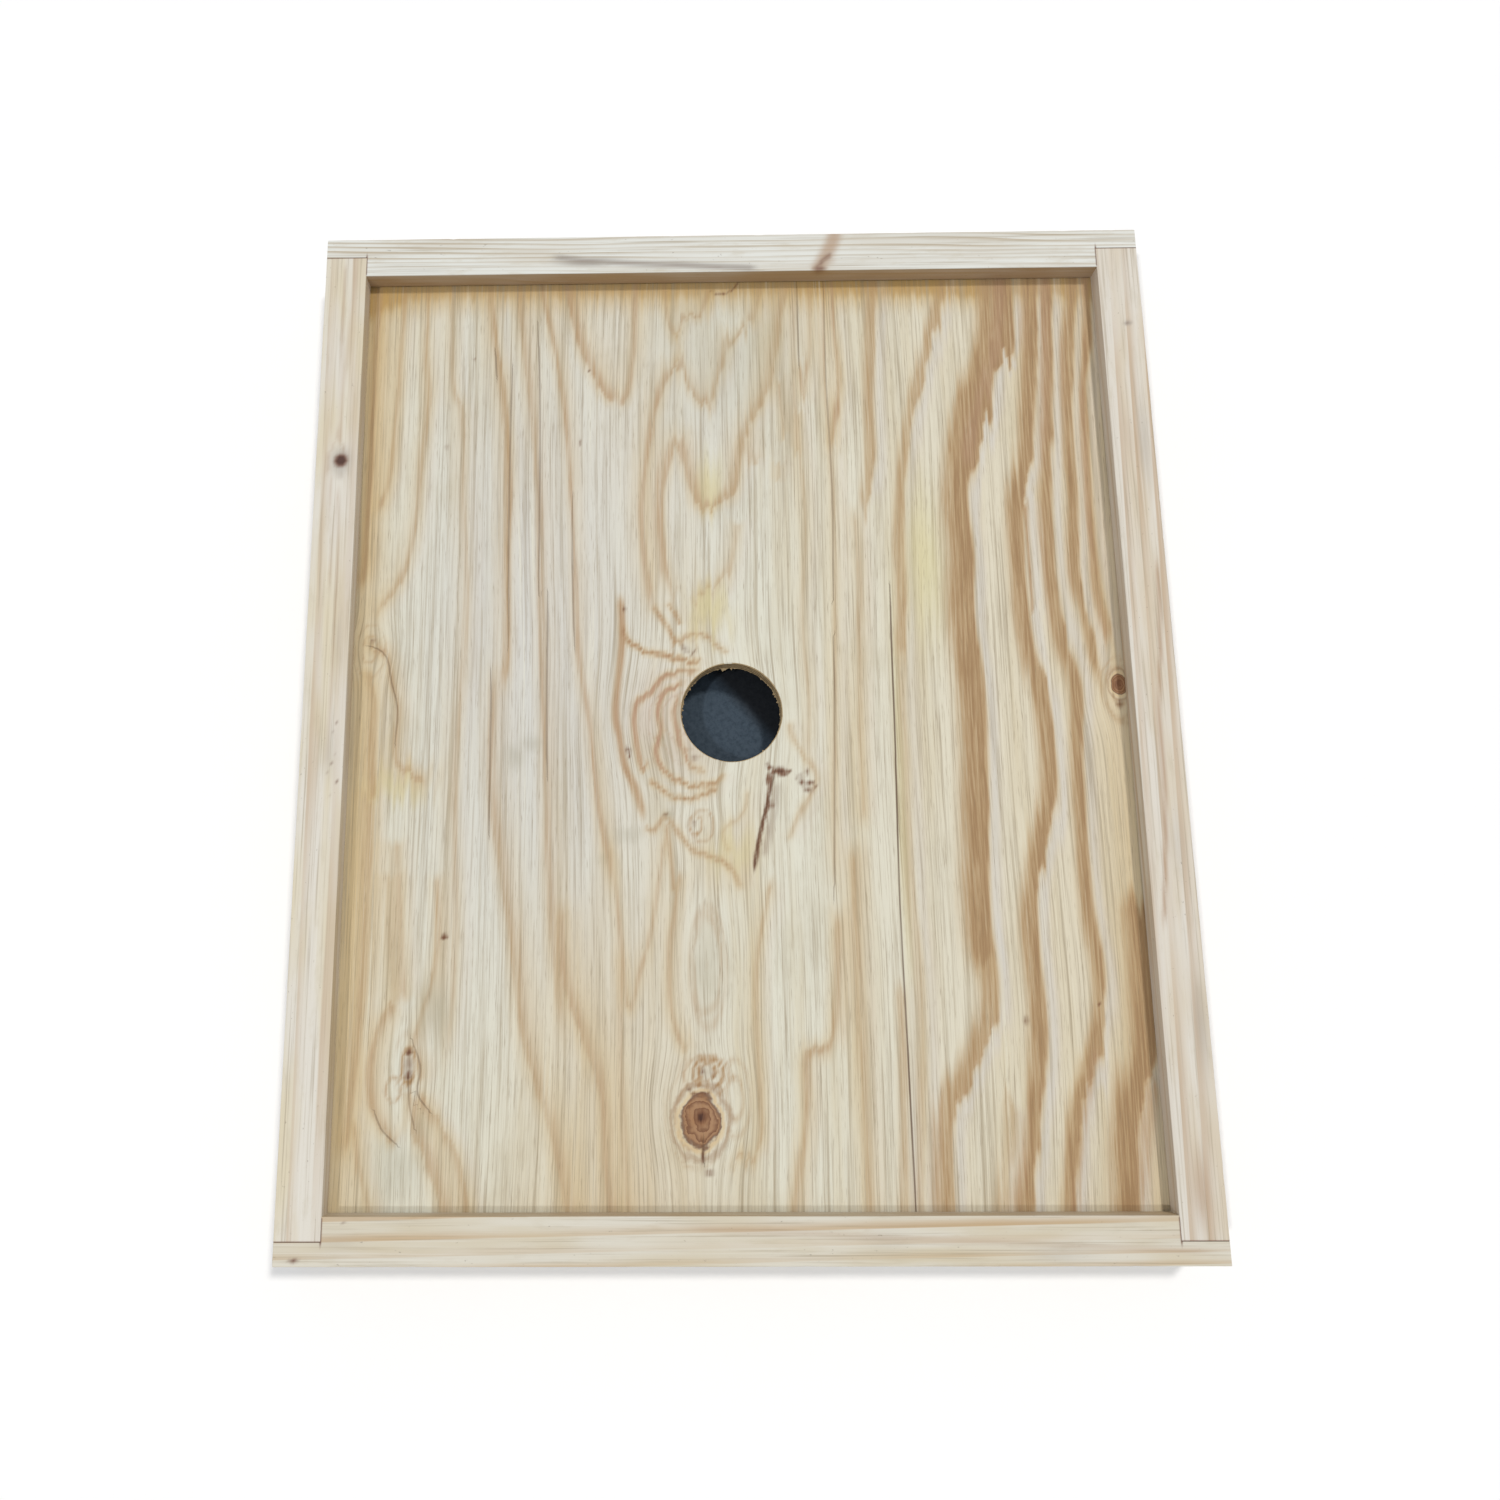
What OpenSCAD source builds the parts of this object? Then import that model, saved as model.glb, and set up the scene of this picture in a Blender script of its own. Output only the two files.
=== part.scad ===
// Tossing board: a plywood deck with one round hole, captured in a frame of four rails.
// X runs across the board, Y along it, Z up. The origin is the middle of its underside.

/* [Frame] */
// Outer width across the board, mm
frame_width = 762; // [600:1:900]
// Outer length along the board, mm
frame_length = 914.4; // [750:0.1:1250]
// Thickness of every rail, mm
rail_thickness = 38.1; // [30:0.1:45]
// Height of every rail, mm
rail_height = 63.5; // [55:0.1:90]

/* [Corner joint] */
// Thickness of the end rail's tongue that covers a side rail's end, mm
tongue_thickness = 18.5; // [12:0.1:25]

/* [Deck panel] */
// Thickness of the plywood, mm
panel_thickness = 16; // [12:0.1:19]
// Depth of the panel's top face below the rails' top faces, mm
recess_depth = 19.05; // [12:0.05:25]
// Depth of the rails' groove, mm
groove_depth = 10; // [6:0.5:14]
// Gap between the panel's edge and the groove's bottom, mm
edge_gap = 1; // [0.5:0.1:2]
// Gap above the panel in the groove, mm
top_gap = 1.5; // [0:0.1:2]

/* [Hole] */
// Diameter of the round hole, mm
hole_diameter = 88.9; // [60:0.1:160]
// Hole centre across the board from the middle, mm
hole_x = -5; // [-50:0.5:50]
// Hole centre along the board from the middle, mm
hole_y = -1; // [-300:0.5:300]

/* [Screws] */
// Overall length of each screw, mm
screw_length = 60; // [45:1:70]
// Thread diameter, mm
screw_diameter = 4.2; // [3.5:0.1:5]
// Shank diameter above the thread, mm
shank_diameter = 3.4; // [2.8:0.1:4]
// Diameter of the countersunk head, mm
head_diameter = 8.4; // [7:0.1:10]
// Distance of each screw from the rail's top or bottom face, mm
screw_edge = 14; // [10:0.5:18]

/* [Hidden] */
facets = 64;
clearance = 0.05;
cut = 1;
half_width = frame_width / 2;
half_length = frame_length / 2;
inner_x = half_width - rail_thickness;
inner_y = half_length - rail_thickness;
side_length = frame_length - 2 * tongue_thickness;
rebate_depth = rail_thickness - tongue_thickness;
rebate_middle = inner_x + (rail_thickness + cut) / 2;
panel_top = rail_height - recess_depth;
panel_bottom = panel_top - panel_thickness;
groove_height = panel_thickness + top_gap;
panel_width = 2 * (inner_x + groove_depth - edge_gap);
panel_length = 2 * (inner_y + groove_depth - edge_gap);
rail_middle = half_width - rail_thickness / 2;
screw_low = screw_edge;
screw_high = rail_height - screw_edge;
head_height = (head_diameter - shank_diameter) / 2;
head_land = 0.4;
point_height = 7;
socket_depth = 2.2;
socket_length = 4.4;
socket_width = 1.1;
pilot_depth = screw_length - tongue_thickness + 1;

// A round cutter that runs along -Y from a tongue's outer face, with a seat for the head.
module screw_cutter(depth) {
    rotate([90, 0, 0]) {
        translate([0, 0, -cut])
            cylinder(h = depth + cut, d = screw_diameter + 2 * clearance, $fn = facets);
        translate([0, 0, head_land])
            cylinder(
                h = head_height,
                d1 = head_diameter + 2 * clearance,
                d2 = shank_diameter + 2 * clearance,
                $fn = facets
            );
        translate([0, 0, -cut])
            cylinder(h = head_land + cut, d = head_diameter + 2 * clearance, $fn = facets);
    }
}

// One end rail, as the far one: rebated at both ends and grooved along its inner face.
module end_rail() {
    difference() {
        translate([-half_width, inner_y, 0])
            cube([frame_width, rail_thickness, rail_height]);
        for (side = [-1, 1]) {
            translate([side * rebate_middle, inner_y + (rebate_depth - cut) / 2, rail_height / 2])
                cube([rail_thickness + cut, rebate_depth + cut, rail_height + 2 * cut], center = true);
            for (level = [screw_low, screw_high])
                translate([side * rail_middle, half_length, level])
                    screw_cutter(tongue_thickness + cut);
        }
        translate([-inner_x - cut, inner_y - cut, panel_bottom])
            cube([2 * (inner_x + cut), groove_depth + cut, groove_height]);
    }
}

// One side rail, as the right one: grooved along its inner face, with pilot holes in both ends.
module side_rail() {
    difference() {
        translate([inner_x, -side_length / 2, 0])
            cube([rail_thickness, side_length, rail_height]);
        translate([inner_x - cut, -side_length / 2 - cut, panel_bottom])
            cube([groove_depth + cut, side_length + 2 * cut, groove_height]);
        for (end = [-1, 1])
            for (level = [screw_low, screw_high])
                translate([rail_middle, end * (side_length / 2 - pilot_depth), level])
                    rotate([-90 * end, 0, 0])
                        cylinder(h = pilot_depth + cut, d = screw_diameter + 2 * clearance, $fn = facets);
    }
}

// A countersunk wood screw with a cross socket, its head at the origin and its point along -Y.
module screw_body() {
    rotate([90, 0, 0])
        difference() {
            rotate_extrude($fn = facets)
                polygon([
                    [0, 0],
                    [head_diameter / 2, 0],
                    [head_diameter / 2, head_land],
                    [shank_diameter / 2, head_land + head_height],
                    [shank_diameter / 2, tongue_thickness - 2],
                    [screw_diameter / 2, tongue_thickness],
                    [screw_diameter / 2, screw_length - point_height],
                    [0, screw_length]
                ]);
            translate([-socket_length / 2, -socket_width / 2, -cut])
                cube([socket_length, socket_width, socket_depth + cut]);
            translate([-socket_width / 2, -socket_length / 2, -cut])
                cube([socket_width, socket_length, socket_depth + cut]);
        }
}

// A screw in the far end rail: side is -1 for left and 1 for right.
module far_screw(side, level) {
    translate([side * rail_middle, half_length, level])
        screw_body();
}

// A screw in the near end rail.
module near_screw(side, level) {
    rotate([0, 0, 180])
        far_screw(-side, level);
}

module deck_panel() {
    color([0.83, 0.72, 0.53])
        difference() {
            translate([-panel_width / 2, -panel_length / 2, panel_bottom])
                cube([panel_width, panel_length, panel_thickness]);
            translate([hole_x, hole_y, panel_bottom - cut])
                cylinder(h = panel_thickness + 2 * cut, d = hole_diameter, $fn = facets);
        }
}

module rail_far() {
    color([0.87, 0.81, 0.68])
        end_rail();
}

module rail_near() {
    color([0.87, 0.81, 0.68])
        rotate([0, 0, 180])
            end_rail();
}

module rail_left() {
    color([0.88, 0.80, 0.69])
        rotate([0, 0, 180])
            side_rail();
}

module rail_right() {
    color([0.88, 0.80, 0.69])
        side_rail();
}

module screw_far_left_upper() {
    color([0.72, 0.70, 0.62])
        far_screw(-1, screw_high);
}

module screw_far_left_lower() {
    color([0.72, 0.70, 0.62])
        far_screw(-1, screw_low);
}

module screw_far_right_upper() {
    color([0.72, 0.70, 0.62])
        far_screw(1, screw_high);
}

module screw_far_right_lower() {
    color([0.72, 0.70, 0.62])
        far_screw(1, screw_low);
}

module screw_near_left_upper() {
    color([0.72, 0.70, 0.62])
        near_screw(-1, screw_high);
}

module screw_near_left_lower() {
    color([0.72, 0.70, 0.62])
        near_screw(-1, screw_low);
}

module screw_near_right_upper() {
    color([0.72, 0.70, 0.62])
        near_screw(1, screw_high);
}

module screw_near_right_lower() {
    color([0.72, 0.70, 0.62])
        near_screw(1, screw_low);
}

deck_panel();
rail_far();
rail_near();
rail_left();
rail_right();
screw_far_left_upper();
screw_far_left_lower();
screw_far_right_upper();
screw_far_right_lower();
screw_near_left_upper();
screw_near_left_lower();
screw_near_right_upper();
screw_near_right_lower();
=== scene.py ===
import math

import bmesh
import bpy
import numpy as np
from mathutils import Euler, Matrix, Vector


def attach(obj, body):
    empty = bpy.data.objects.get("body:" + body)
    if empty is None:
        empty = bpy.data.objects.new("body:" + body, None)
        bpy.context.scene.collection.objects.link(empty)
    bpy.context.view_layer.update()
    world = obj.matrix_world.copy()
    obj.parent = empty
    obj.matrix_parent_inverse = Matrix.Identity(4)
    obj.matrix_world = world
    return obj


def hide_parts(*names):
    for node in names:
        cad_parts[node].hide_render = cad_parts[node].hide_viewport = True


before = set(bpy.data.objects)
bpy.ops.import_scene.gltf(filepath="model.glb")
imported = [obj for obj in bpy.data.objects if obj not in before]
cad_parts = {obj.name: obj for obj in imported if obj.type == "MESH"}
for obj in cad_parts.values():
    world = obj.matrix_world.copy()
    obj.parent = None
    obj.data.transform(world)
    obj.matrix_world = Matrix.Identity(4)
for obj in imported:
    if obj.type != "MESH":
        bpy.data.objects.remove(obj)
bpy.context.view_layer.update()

MM = 0.001

# The board's main sizes, in millimetres.
HALF_WIDTH = 381.0
HALF_LENGTH = 457.2
INNER_X = 342.9
INNER_Y = 419.1
SHOULDER_Y = 438.7
RAIL_HEIGHT = 63.5
GROOVE_DEPTH = 10.0
GROOVE_LOW = 28.45
GROOVE_HIGH = 45.95
DECK_LOW = 28.45
DECK_HIGH = 44.45
DECK_HALF_X = 351.9
DECK_HALF_Y = 428.1
HOLE = (-5.0, -1.0)
HOLE_RADIUS = 44.45
SCREW_X = 361.95
SCREW_HEIGHTS = (14.0, 49.5)
SEAT_RADIUS = 4.3
SEAT_DEPTH = 2.9
PILOT_RADIUS = 1.9
PILOT_DEPTH = 12.0
PLIES = 7
PLY = (DECK_HIGH - DECK_LOW) / PLIES

# ---------------------------------------------------------------- camera

camera_data = bpy.data.cameras.new("camera")
camera = bpy.data.objects.new("camera", camera_data)
bpy.context.scene.collection.objects.link(camera)
camera.location = (-0.0615, -0.2373, 1.0775)
camera.rotation_euler = Euler([math.radians(a) for a in (11.43, 0.90, -0.25)], "XYZ")
camera_data.sensor_width = 36
camera_data.lens = 28.70
camera_data.shift_x = 0.0663
camera_data.shift_y = -0.0047
camera_data.clip_start = 0.01
bpy.context.scene.camera = camera
bpy.context.scene.view_settings.view_transform = "Standard"

# ---------------------------------------------------------------- meshes


def new_object(name, verts, faces):
    """An object at the origin from corner points in millimetres."""
    mesh = bpy.data.meshes.new(name)
    mesh.from_pydata((np.asarray(verts) * MM).tolist(), [], faces)
    mesh.validate()
    piece = bpy.data.objects.new(name, mesh)
    bpy.context.scene.collection.objects.link(piece)
    return piece


def coordinates(piece):
    """The piece's corner points in millimetres."""
    flat = np.empty(len(piece.data.vertices) * 3)
    piece.data.vertices.foreach_get("co", flat)
    return flat.reshape(-1, 3) / MM


def set_coordinates(piece, points):
    piece.data.vertices.foreach_set("co", (np.asarray(points) * MM).ravel())
    piece.data.update()


def set_field(piece, name, values):
    """Stores one number per corner point, for the material to read."""
    made = piece.data.attributes.new(name, "FLOAT", "POINT")
    made.data.foreach_set("value", np.asarray(values, dtype=np.float32))


def spread(low, high, step, *exact):
    """Positions from low to high, about step apart, that pass through each exact one."""
    stops = sorted({low, high, *exact})
    found = [stops[0]]
    for a, b in zip(stops, stops[1:]):
        count = max(1, round((b - a) / step))
        found += [a + (b - a) * i / count for i in range(1, count + 1)]
    return np.array(found)


def cell_solid(name, xs, ys, zs, filled):
    """A closed solid made of the box cells whose middle is filled."""
    cx, cy, cz = np.meshgrid(
        (xs[1:] + xs[:-1]) / 2, (ys[1:] + ys[:-1]) / 2, (zs[1:] + zs[:-1]) / 2, indexing="ij"
    )
    full = np.pad(filled(cx, cy, cz), 1)
    shape = (len(xs), len(ys), len(zs))
    corners = {
        0: ((0, 0, 0), (0, 1, 0), (0, 1, 1), (0, 0, 1)),
        1: ((0, 0, 0), (0, 0, 1), (1, 0, 1), (1, 0, 0)),
        2: ((0, 0, 0), (1, 0, 0), (1, 1, 0), (0, 1, 0)),
    }
    quads = []
    for axis in range(3):
        change = np.diff(full.astype(int), axis=axis)
        inner = [slice(1, -1)] * 3
        inner[axis] = slice(None)
        change = change[tuple(inner)]
        for sign in (-1, 1):
            place = np.argwhere(change == sign)
            quad = [
                np.ravel_multi_index((place + np.array(c)).T, shape) for c in corners[axis]
            ]
            quad = np.stack(quad, axis=1)
            quads.append(quad if sign == -1 else quad[:, ::-1])
    quads = np.concatenate(quads)
    used, local = np.unique(quads, return_inverse=True)
    ix, iy, iz = np.unravel_index(used, shape)
    points = np.stack([xs[ix], ys[iy], zs[iz]], axis=1)
    return new_object(name, points, local.reshape(-1, 4).tolist())


def wave(seed, along, length):
    """A smooth wandering value between about -1 and 1 along a line."""
    rng = np.random.default_rng(seed)
    total = np.zeros_like(along, dtype=float)
    for octave in range(4):
        turns = 2 * math.pi / (length / (1.9**octave))
        total += math.sin(1.0 + octave) / 2 * np.sin(along * turns + rng.uniform(0, 6.28))
        total += 0.5 / (1.6**octave) * np.cos(along * turns * 0.73 + rng.uniform(0, 6.28))
    return total / 1.6


def lattice(seed, x, y, size_x, size_y):
    """Smooth patchy noise from 0 to 1 over a plane, with cells of size_x by size_y."""
    rng = np.random.default_rng(seed)
    table = rng.random((64, 64))
    u, v = x / size_x, y / size_y
    i, j = np.floor(u).astype(int), np.floor(v).astype(int)
    fu, fv = u - i, v - j
    fu, fv = fu * fu * (3 - 2 * fu), fv * fv * (3 - 2 * fv)
    a, b = table[i % 64, j % 64], table[(i + 1) % 64, j % 64]
    c, d = table[i % 64, (j + 1) % 64], table[(i + 1) % 64, (j + 1) % 64]
    return (a * (1 - fu) + b * fu) * (1 - fv) + (c * (1 - fu) + d * fu) * fv


def ease_arrises(piece, low, high, seed, along):
    """Rounds the outer edges of a rail, a little unevenly, with small nicks along its length."""
    points = coordinates(piece)
    low, high = np.array(low), np.array(high)
    run = points[:, along]
    radius = 0.75 + 0.25 * wave(seed, run + 3 * points[:, 2], 70)
    nick = np.clip(lattice(seed + 1, run, points[:, 2] * 3, 9, 40) - 0.86, 0, 1) * 9
    radius = (radius + nick)[:, None]
    inner = np.clip(points, low + radius, high - radius)
    away = points - inner
    distance = np.linalg.norm(away, axis=1, keepdims=True)
    outside = distance > radius
    eased = inner + away / np.maximum(distance, 1e-9) * radius
    set_coordinates(piece, np.where(outside, eased, points))


def cut(piece, cutters):
    """Cuts closed shapes out of a piece, then removes them."""
    for cutter in cutters:
        modifier = piece.modifiers.new("cut", "BOOLEAN")
        modifier.operation = "DIFFERENCE"
        modifier.solver = "EXACT"
        modifier.object = cutter
    graph = bpy.context.evaluated_depsgraph_get()
    made = bpy.data.meshes.new_from_object(piece.evaluated_get(graph))
    piece.modifiers.clear()
    old = piece.data
    piece.data = made
    bpy.data.meshes.remove(old)
    for cutter in cutters:
        bpy.data.meshes.remove(cutter.data)


def lathe(name, centre, rings, sides, axis="z"):
    """A closed turned shape, from rings of (height, radius or list of radii)."""
    points = []
    for height, radius in rings:
        radii = np.broadcast_to(radius, sides)
        for k in range(sides):
            turn = 2 * math.pi * k / sides
            a, b = radii[k] * math.cos(turn), radii[k] * math.sin(turn)
            if axis == "z":
                points.append((centre[0] + a, centre[1] + b, height))
            else:
                points.append((centre[0] + a, height, centre[1] + b))
    faces = []
    for r in range(len(rings) - 1):
        for k in range(sides):
            n = (k + 1) % sides
            faces.append((r * sides + k, r * sides + n, (r + 1) * sides + n, (r + 1) * sides + k))
    faces.append(tuple(reversed(range(sides))))
    faces.append(tuple(range((len(rings) - 1) * sides, len(rings) * sides)))
    piece = new_object(name, points, faces)
    shell = bmesh.new()
    shell.from_mesh(piece.data)
    bmesh.ops.recalc_face_normals(shell, faces=shell.faces)
    shell.to_mesh(piece.data)
    shell.free()
    return piece


def fine(low, high):
    """Positions close to two opposite outer faces, so that their edges can be rounded."""
    return [low + 0.35, low + 0.9, low + 1.8, high - 1.8, high - 0.9, high - 0.35]


def make_side_rail(name, side, seed):
    left, right = (INNER_X, HALF_WIDTH) if side > 0 else (-HALF_WIDTH, -INNER_X)
    low, high = [left, -SHOULDER_Y, 0.0], [right, SHOULDER_Y, RAIL_HEIGHT]
    groove_x = INNER_X + GROOVE_DEPTH
    xs = spread(left, right, 3.2, side * groove_x, *fine(left, right))
    ys = spread(low[1], high[1], 4.0, *fine(low[1], high[1]))
    zs = spread(0, RAIL_HEIGHT, 5.0, GROOVE_LOW, GROOVE_HIGH, *fine(0, RAIL_HEIGHT))

    def filled(x, y, z):
        in_groove = (np.abs(x) < groove_x) & (z > GROOVE_LOW) & (z < GROOVE_HIGH)
        return ~in_groove

    piece = cell_solid(name, xs, ys, zs, filled)
    ease_arrises(piece, low, high, seed, 1)
    return piece


def make_end_rail(name, side, seed):
    near, far = (INNER_Y, HALF_LENGTH) if side > 0 else (-HALF_LENGTH, -INNER_Y)
    low, high = [-HALF_WIDTH, near, 0.0], [HALF_WIDTH, far, RAIL_HEIGHT]
    groove_y = INNER_Y + GROOVE_DEPTH
    shoulders = [s * (INNER_X + d) for s in (-1, 1) for d in (-1.6, -0.7, 0, 0.7, 1.6)]
    xs = spread(low[0], high[0], 4.0, *shoulders, *fine(low[0], high[0]))
    ys = spread(near, far, 3.2, side * groove_y, side * SHOULDER_Y, *fine(near, far))
    zs = spread(0, RAIL_HEIGHT, 5.0, GROOVE_LOW, GROOVE_HIGH, *fine(0, RAIL_HEIGHT))

    def filled(x, y, z):
        inside = np.abs(x) < INNER_X
        in_groove = inside & (np.abs(y) < groove_y) & (z > GROOVE_LOW) & (z < GROOVE_HIGH)
        in_rebate = ~inside & (np.abs(y) < SHOULDER_Y)
        return ~(in_groove | in_rebate)

    piece = cell_solid(name, xs, ys, zs, filled)
    ease_arrises(piece, low, high, seed, 0)
    seats = []
    for x in (-SCREW_X, SCREW_X):
        for z in SCREW_HEIGHTS:
            face = side * HALF_LENGTH
            rings = [
                (face + side * 2, SEAT_RADIUS),
                (face - side * 0.5, SEAT_RADIUS),
                (face - side * SEAT_DEPTH, PILOT_RADIUS),
                (face - side * PILOT_DEPTH, PILOT_RADIUS),
            ]
            seats.append(lathe("seat", (x, z), rings, 32, axis="y"))
    cut(piece, seats)
    return piece


# The deck: a fine top over a coarser underside, joined round the sides, then the hole.

COLUMNS, ROWS, COARSE = 280, 252, 4


def make_deck():
    xs = np.linspace(-DECK_HALF_X, DECK_HALF_X, COLUMNS + 1)
    ys = np.linspace(-DECK_HALF_Y, DECK_HALF_Y, ROWS + 1)
    top = [(x, y, DECK_HIGH) for y in ys for x in xs]
    bottom = [(x, y, DECK_LOW) for y in ys[::COARSE] for x in xs[::COARSE]]
    wide, deep = COLUMNS // COARSE, ROWS // COARSE

    def t(i, j):
        return j * (COLUMNS + 1) + i

    def b(i, j):
        return len(top) + j * (wide + 1) + i

    faces = [
        (t(i, j), t(i + 1, j), t(i + 1, j + 1), t(i, j + 1))
        for j in range(ROWS)
        for i in range(COLUMNS)
    ]
    faces += [
        (b(i, j), b(i, j + 1), b(i + 1, j + 1), b(i + 1, j))
        for j in range(deep)
        for i in range(wide)
    ]
    for i in range(wide):
        run = [t(i * COARSE + k, 0) for k in range(COARSE + 1)]
        faces.append((b(i, 0), b(i + 1, 0), *reversed(run)))
        run = [t(i * COARSE + k, ROWS) for k in range(COARSE + 1)]
        faces.append((b(i + 1, deep), b(i, deep), *run))
    for j in range(deep):
        run = [t(0, j * COARSE + k) for k in range(COARSE + 1)]
        faces.append((b(0, j + 1), b(0, j), *run))
        run = [t(COLUMNS, j * COARSE + k) for k in range(COARSE + 1)]
        faces.append((b(wide, j), b(wide, j + 1), *reversed(run)))
    piece = new_object("deck", top + bottom, faces)

    # The hole's wall steps a little from ply to ply, and the lowest veneer is torn.
    sides = 200
    turn = np.arange(sides) / sides * 2 * math.pi
    rng = np.random.default_rng(5)
    torn = np.abs(wave(8, turn * HOLE_RADIUS, 22)) ** 2 * 1.6
    torn += (rng.random(sides) > 0.82) * rng.random(sides) * 1.4
    nicks = np.clip(wave(9, turn * HOLE_RADIUS, 30) - 0.5, 0, 1) * 0.9
    rings = [(DECK_LOW - 2, HOLE_RADIUS - torn), (DECK_LOW + 0.9, HOLE_RADIUS - torn)]
    rings.append((DECK_LOW + 1.5, HOLE_RADIUS - 0.15 * torn))
    for ply in range(1, PLIES):
        z = DECK_LOW + ply * PLY
        step = (0.22 if ply % 2 else -0.05) + 0.12 * wave(20 + ply, turn * HOLE_RADIUS, 35)
        rings.append((z + 0.1, HOLE_RADIUS + step))
        if z + 1.9 < DECK_HIGH - 0.8:
            rings.append((z + 1.9, HOLE_RADIUS + step))
    rings.append((DECK_HIGH - 0.7, HOLE_RADIUS + 0.1))
    rings.append((DECK_HIGH, HOLE_RADIUS + 0.75 + nicks))
    rings.append((DECK_HIGH + 2, HOLE_RADIUS + 2.75 + nicks))
    cut(piece, [lathe("bore", HOLE, rings, sides)])
    return piece


# ---------------------------------------------------------------- grain of the deck


def smooth_line(stops, step=6.0):
    """A smooth line through a few points, as a dense list of points."""
    p = np.array(stops, dtype=float)
    p = np.vstack([2 * p[0] - p[1], p, 2 * p[-1] - p[-2]])
    found = []
    for k in range(1, len(p) - 2):
        a, b, c, d = p[k - 1], p[k], p[k + 1], p[k + 2]
        count = max(2, int(np.linalg.norm(c - b) / step))
        for t in np.arange(count) / count:
            found.append(
                0.5 * (2 * b + (c - a) * t + (2 * a - 5 * b + 4 * c - d) * t * t
                + (3 * b - a - 3 * c + d) * t**3)
            )
    found.append(p[-2])
    return np.array(found)


def beside(x, y, stops, reach):
    """How far each point lies from a line, and how far along it.

    The distance is positive on the line's left side as it is followed.
    """
    line = smooth_line(stops)
    side, run = np.full(x.shape, 1e9), np.zeros(x.shape)
    low, high = line.min(axis=0) - reach, line.max(axis=0) + reach
    box = np.flatnonzero((x > low[0]) & (x < high[0]) & (y > low[1]) & (y < high[1]))
    px, py = x[box], y[box]
    best, signed, place = np.full(px.shape, 1e9), side[box], run[box]
    for k, (a, b) in enumerate(zip(line, line[1:])):
        dx, dy = b - a
        length = dx * dx + dy * dy + 1e-9
        t = np.clip(((px - a[0]) * dx + (py - a[1]) * dy) / length, 0, 1)
        ox, oy = px - a[0] - t * dx, py - a[1] - t * dy
        d = ox * ox + oy * oy
        closer = d < best
        best[closer] = d[closer]
        signed[closer] = (np.sqrt(d) * np.sign(dx * oy - dy * ox))[closer]
        place[closer] = ((k + t) / (len(line) - 1))[closer]
    side[box], run[box] = signed, place
    return side, run


def falloff(distance, width):
    t = np.clip(1 - distance / width, 0, 1)
    return t * t * (3 - 2 * t)


def band(x, y, stops, left, right, fade=0.06):
    """A stripe that fades over left and right millimetres on the two sides of a line."""
    side, run = beside(x, y, stops, max(left, right) + 2)
    # A line followed towards the near end has +X on its left.
    width = np.where(side > 0, right, left)
    ends = np.clip(run / fade, 0, 1) * np.clip((1 - run) / fade, 0, 1) if fade else 1
    return falloff(np.abs(side), width) * ends


def past_edges(stops):
    """The same line, carried on past the deck's near or far edge where it reaches it."""
    first, last = (
        [(x, y + math.copysign(60, y))] if abs(y) > DECK_HALF_Y - 1 else []
        for x, y in (stops[0], stops[-1])
    )
    return [*first, *stops, *last]


def oval(x, y, centre, size_x, size_y):
    """0 in the middle of an oval, 1 on its edge and more outside it."""
    return np.hypot((x - centre[0]) / size_x, (y - centre[1]) / size_y)


def spot(x, y, centre, size_x, size_y):
    """A soft oval."""
    return falloff(oval(x, y, centre, size_x, size_y), 1.0)


def ring(x, y, centre, size_x, size_y, width):
    """An oval line round a knot."""
    away = oval(x, y, centre, size_x, size_y)
    return falloff(np.abs(away - 1) * min(size_x, size_y), width)


def spots(x, y, table):
    """The sum of soft ovals given as (middle, size across, size along, strength)."""
    return sum(strength * spot(x, y, *place) for *place, strength in table)


def fields(x, y, table):
    """The sum of soft rectangles given as (middle, half width, half length, strength)."""
    total = 0
    for (cx, cy), half_x, half_y, strength in table:
        across, along = falloff(np.abs(x - cx), half_x), falloff(np.abs(y - cy), half_y)
        total = total + strength * across * along
    return total


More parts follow.
